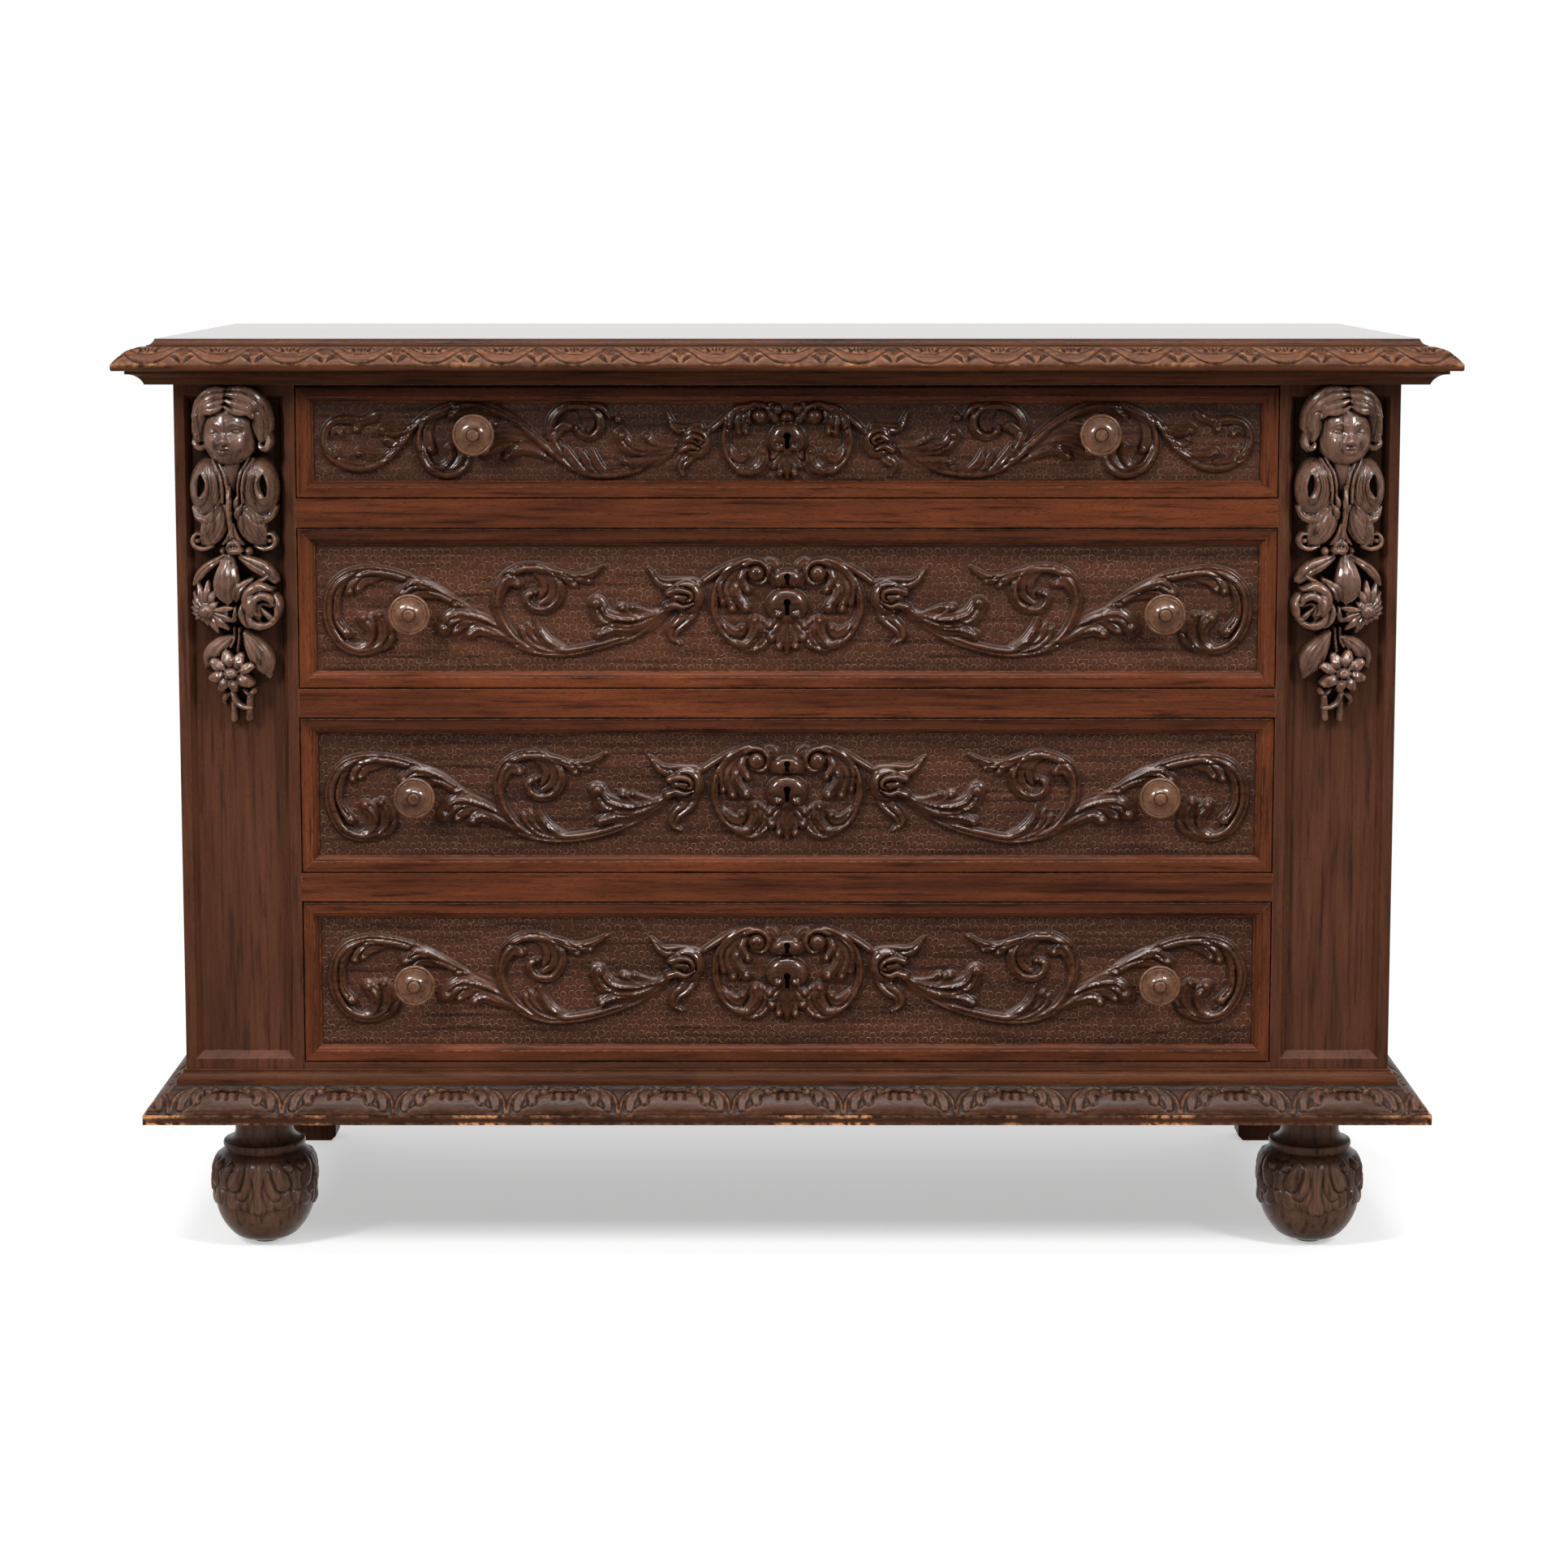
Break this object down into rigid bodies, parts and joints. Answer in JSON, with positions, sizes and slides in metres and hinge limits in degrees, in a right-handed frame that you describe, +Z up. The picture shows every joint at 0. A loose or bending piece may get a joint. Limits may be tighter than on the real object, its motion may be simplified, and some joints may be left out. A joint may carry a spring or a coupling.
{
  "type": "chest of drawers",
  "caption": "Carved walnut chest of drawers with ring-punched scroll panels, turned knobs, corner pilasters with applied child-head drops, and turned acanthus front feet.",
  "frame": {"origin": "on the floor, under the middle of the top board", "axes": "+X to the right seen from the front, +Y from the drawers' front to the back, +Z up"},
  "size_m": [1.474, 0.6, 1.044],
  "materials": {
    "walnut_top": "french polish",
    "walnut_carcase": "wax polish",
    "walnut_rail": "wax polish",
    "walnut_moulding": "wax polish",
    "walnut_drawer": "wax polish",
    "walnut_carved": "wax polish, darkened in the hollows",
    "walnut_knob": "wax polish, worn",
    "drawer_lining": "bare planed wood",
    "inner_wood": "bare aged wood",
    "lock_iron": "dark forged iron",
    "glide_plastic": "matt white"
  },
  "bodies": {
    "carcase": {"top_board": "walnut_top", "cornice_moulding": "walnut_moulding", "left_front_post": "walnut_carcase", "right_front_post": "walnut_carcase", "rear_posts": "walnut_carcase", "side_rails": "walnut_carcase", "side_panels": "walnut_carcase", "back_panel": "inner_wood", "top_rail": "walnut_rail", "upper_rail": "walnut_rail", "middle_rail": "walnut_rail", "lower_rail": "walnut_rail", "bottom_board": "inner_wood", "drawer_runners": "inner_wood", "drawer_stops": "inner_wood", "plinth_moulding": "walnut_moulding", "base_moulding": "walnut_carved", "foot_blocks": "inner_wood", "left_front_foot": "walnut_carved", "right_front_foot": "walnut_carved", "rear_feet": "walnut_carcase", "foot_glides": "glide_plastic", "left_carving": "walnut_carved", "right_carving": "walnut_carved"},
    "drawer_4": {"drawer_4_front": "walnut_drawer", "drawer_4_frame": "walnut_rail", "drawer_4_left_side": "drawer_lining", "drawer_4_right_side": "drawer_lining", "drawer_4_back": "drawer_lining", "drawer_4_bottom": "drawer_lining", "drawer_4_knobs": "walnut_knob", "drawer_4_lock": "lock_iron"},
    "lock_bolt_4": {"drawer_4_lock_bolt": "lock_iron"},
    "drawer_3": {"drawer_3_front": "walnut_drawer", "drawer_3_frame": "walnut_rail", "drawer_3_left_side": "drawer_lining", "drawer_3_right_side": "drawer_lining", "drawer_3_back": "drawer_lining", "drawer_3_bottom": "drawer_lining", "drawer_3_knobs": "walnut_knob", "drawer_3_lock": "lock_iron"},
    "lock_bolt_3": {"drawer_3_lock_bolt": "lock_iron"},
    "drawer_2": {"drawer_2_front": "walnut_drawer", "drawer_2_frame": "walnut_rail", "drawer_2_left_side": "drawer_lining", "drawer_2_right_side": "drawer_lining", "drawer_2_back": "drawer_lining", "drawer_2_bottom": "drawer_lining", "drawer_2_knobs": "walnut_knob", "drawer_2_lock": "lock_iron"},
    "lock_bolt_2": {"drawer_2_lock_bolt": "lock_iron"},
    "drawer_1": {"drawer_1_front": "walnut_drawer", "drawer_1_frame": "walnut_rail", "drawer_1_left_side": "drawer_lining", "drawer_1_right_side": "drawer_lining", "drawer_1_back": "drawer_lining", "drawer_1_bottom": "drawer_lining", "drawer_1_knobs": "walnut_knob", "drawer_1_lock": "lock_iron"},
    "lock_bolt_1": {"drawer_1_lock_bolt": "lock_iron"}
  },
  "joints": [
    {"name": "drawer_4_slide", "type": "slide", "parent": "carcase", "child": "drawer_4", "axis": [0, -1, 0], "range_m": [0, 0.38]},
    {"name": "lock_bolt_4_slide", "type": "slide", "parent": "drawer_4", "child": "lock_bolt_4", "axis": [0, 0, 1], "range_m": [0, 0.011]},
    {"name": "drawer_3_slide", "type": "slide", "parent": "carcase", "child": "drawer_3", "axis": [0, -1, 0], "range_m": [0, 0.38]},
    {"name": "lock_bolt_3_slide", "type": "slide", "parent": "drawer_3", "child": "lock_bolt_3", "axis": [0, 0, 1], "range_m": [0, 0.011]},
    {"name": "drawer_2_slide", "type": "slide", "parent": "carcase", "child": "drawer_2", "axis": [0, -1, 0], "range_m": [0, 0.38]},
    {"name": "lock_bolt_2_slide", "type": "slide", "parent": "drawer_2", "child": "lock_bolt_2", "axis": [0, 0, 1], "range_m": [0, 0.011]},
    {"name": "drawer_1_slide", "type": "slide", "parent": "carcase", "child": "drawer_1", "axis": [0, -1, 0], "range_m": [0, 0.38]},
    {"name": "lock_bolt_1_slide", "type": "slide", "parent": "drawer_1", "child": "lock_bolt_1", "axis": [0, 0, 1], "range_m": [0, 0.011]}
  ]
}
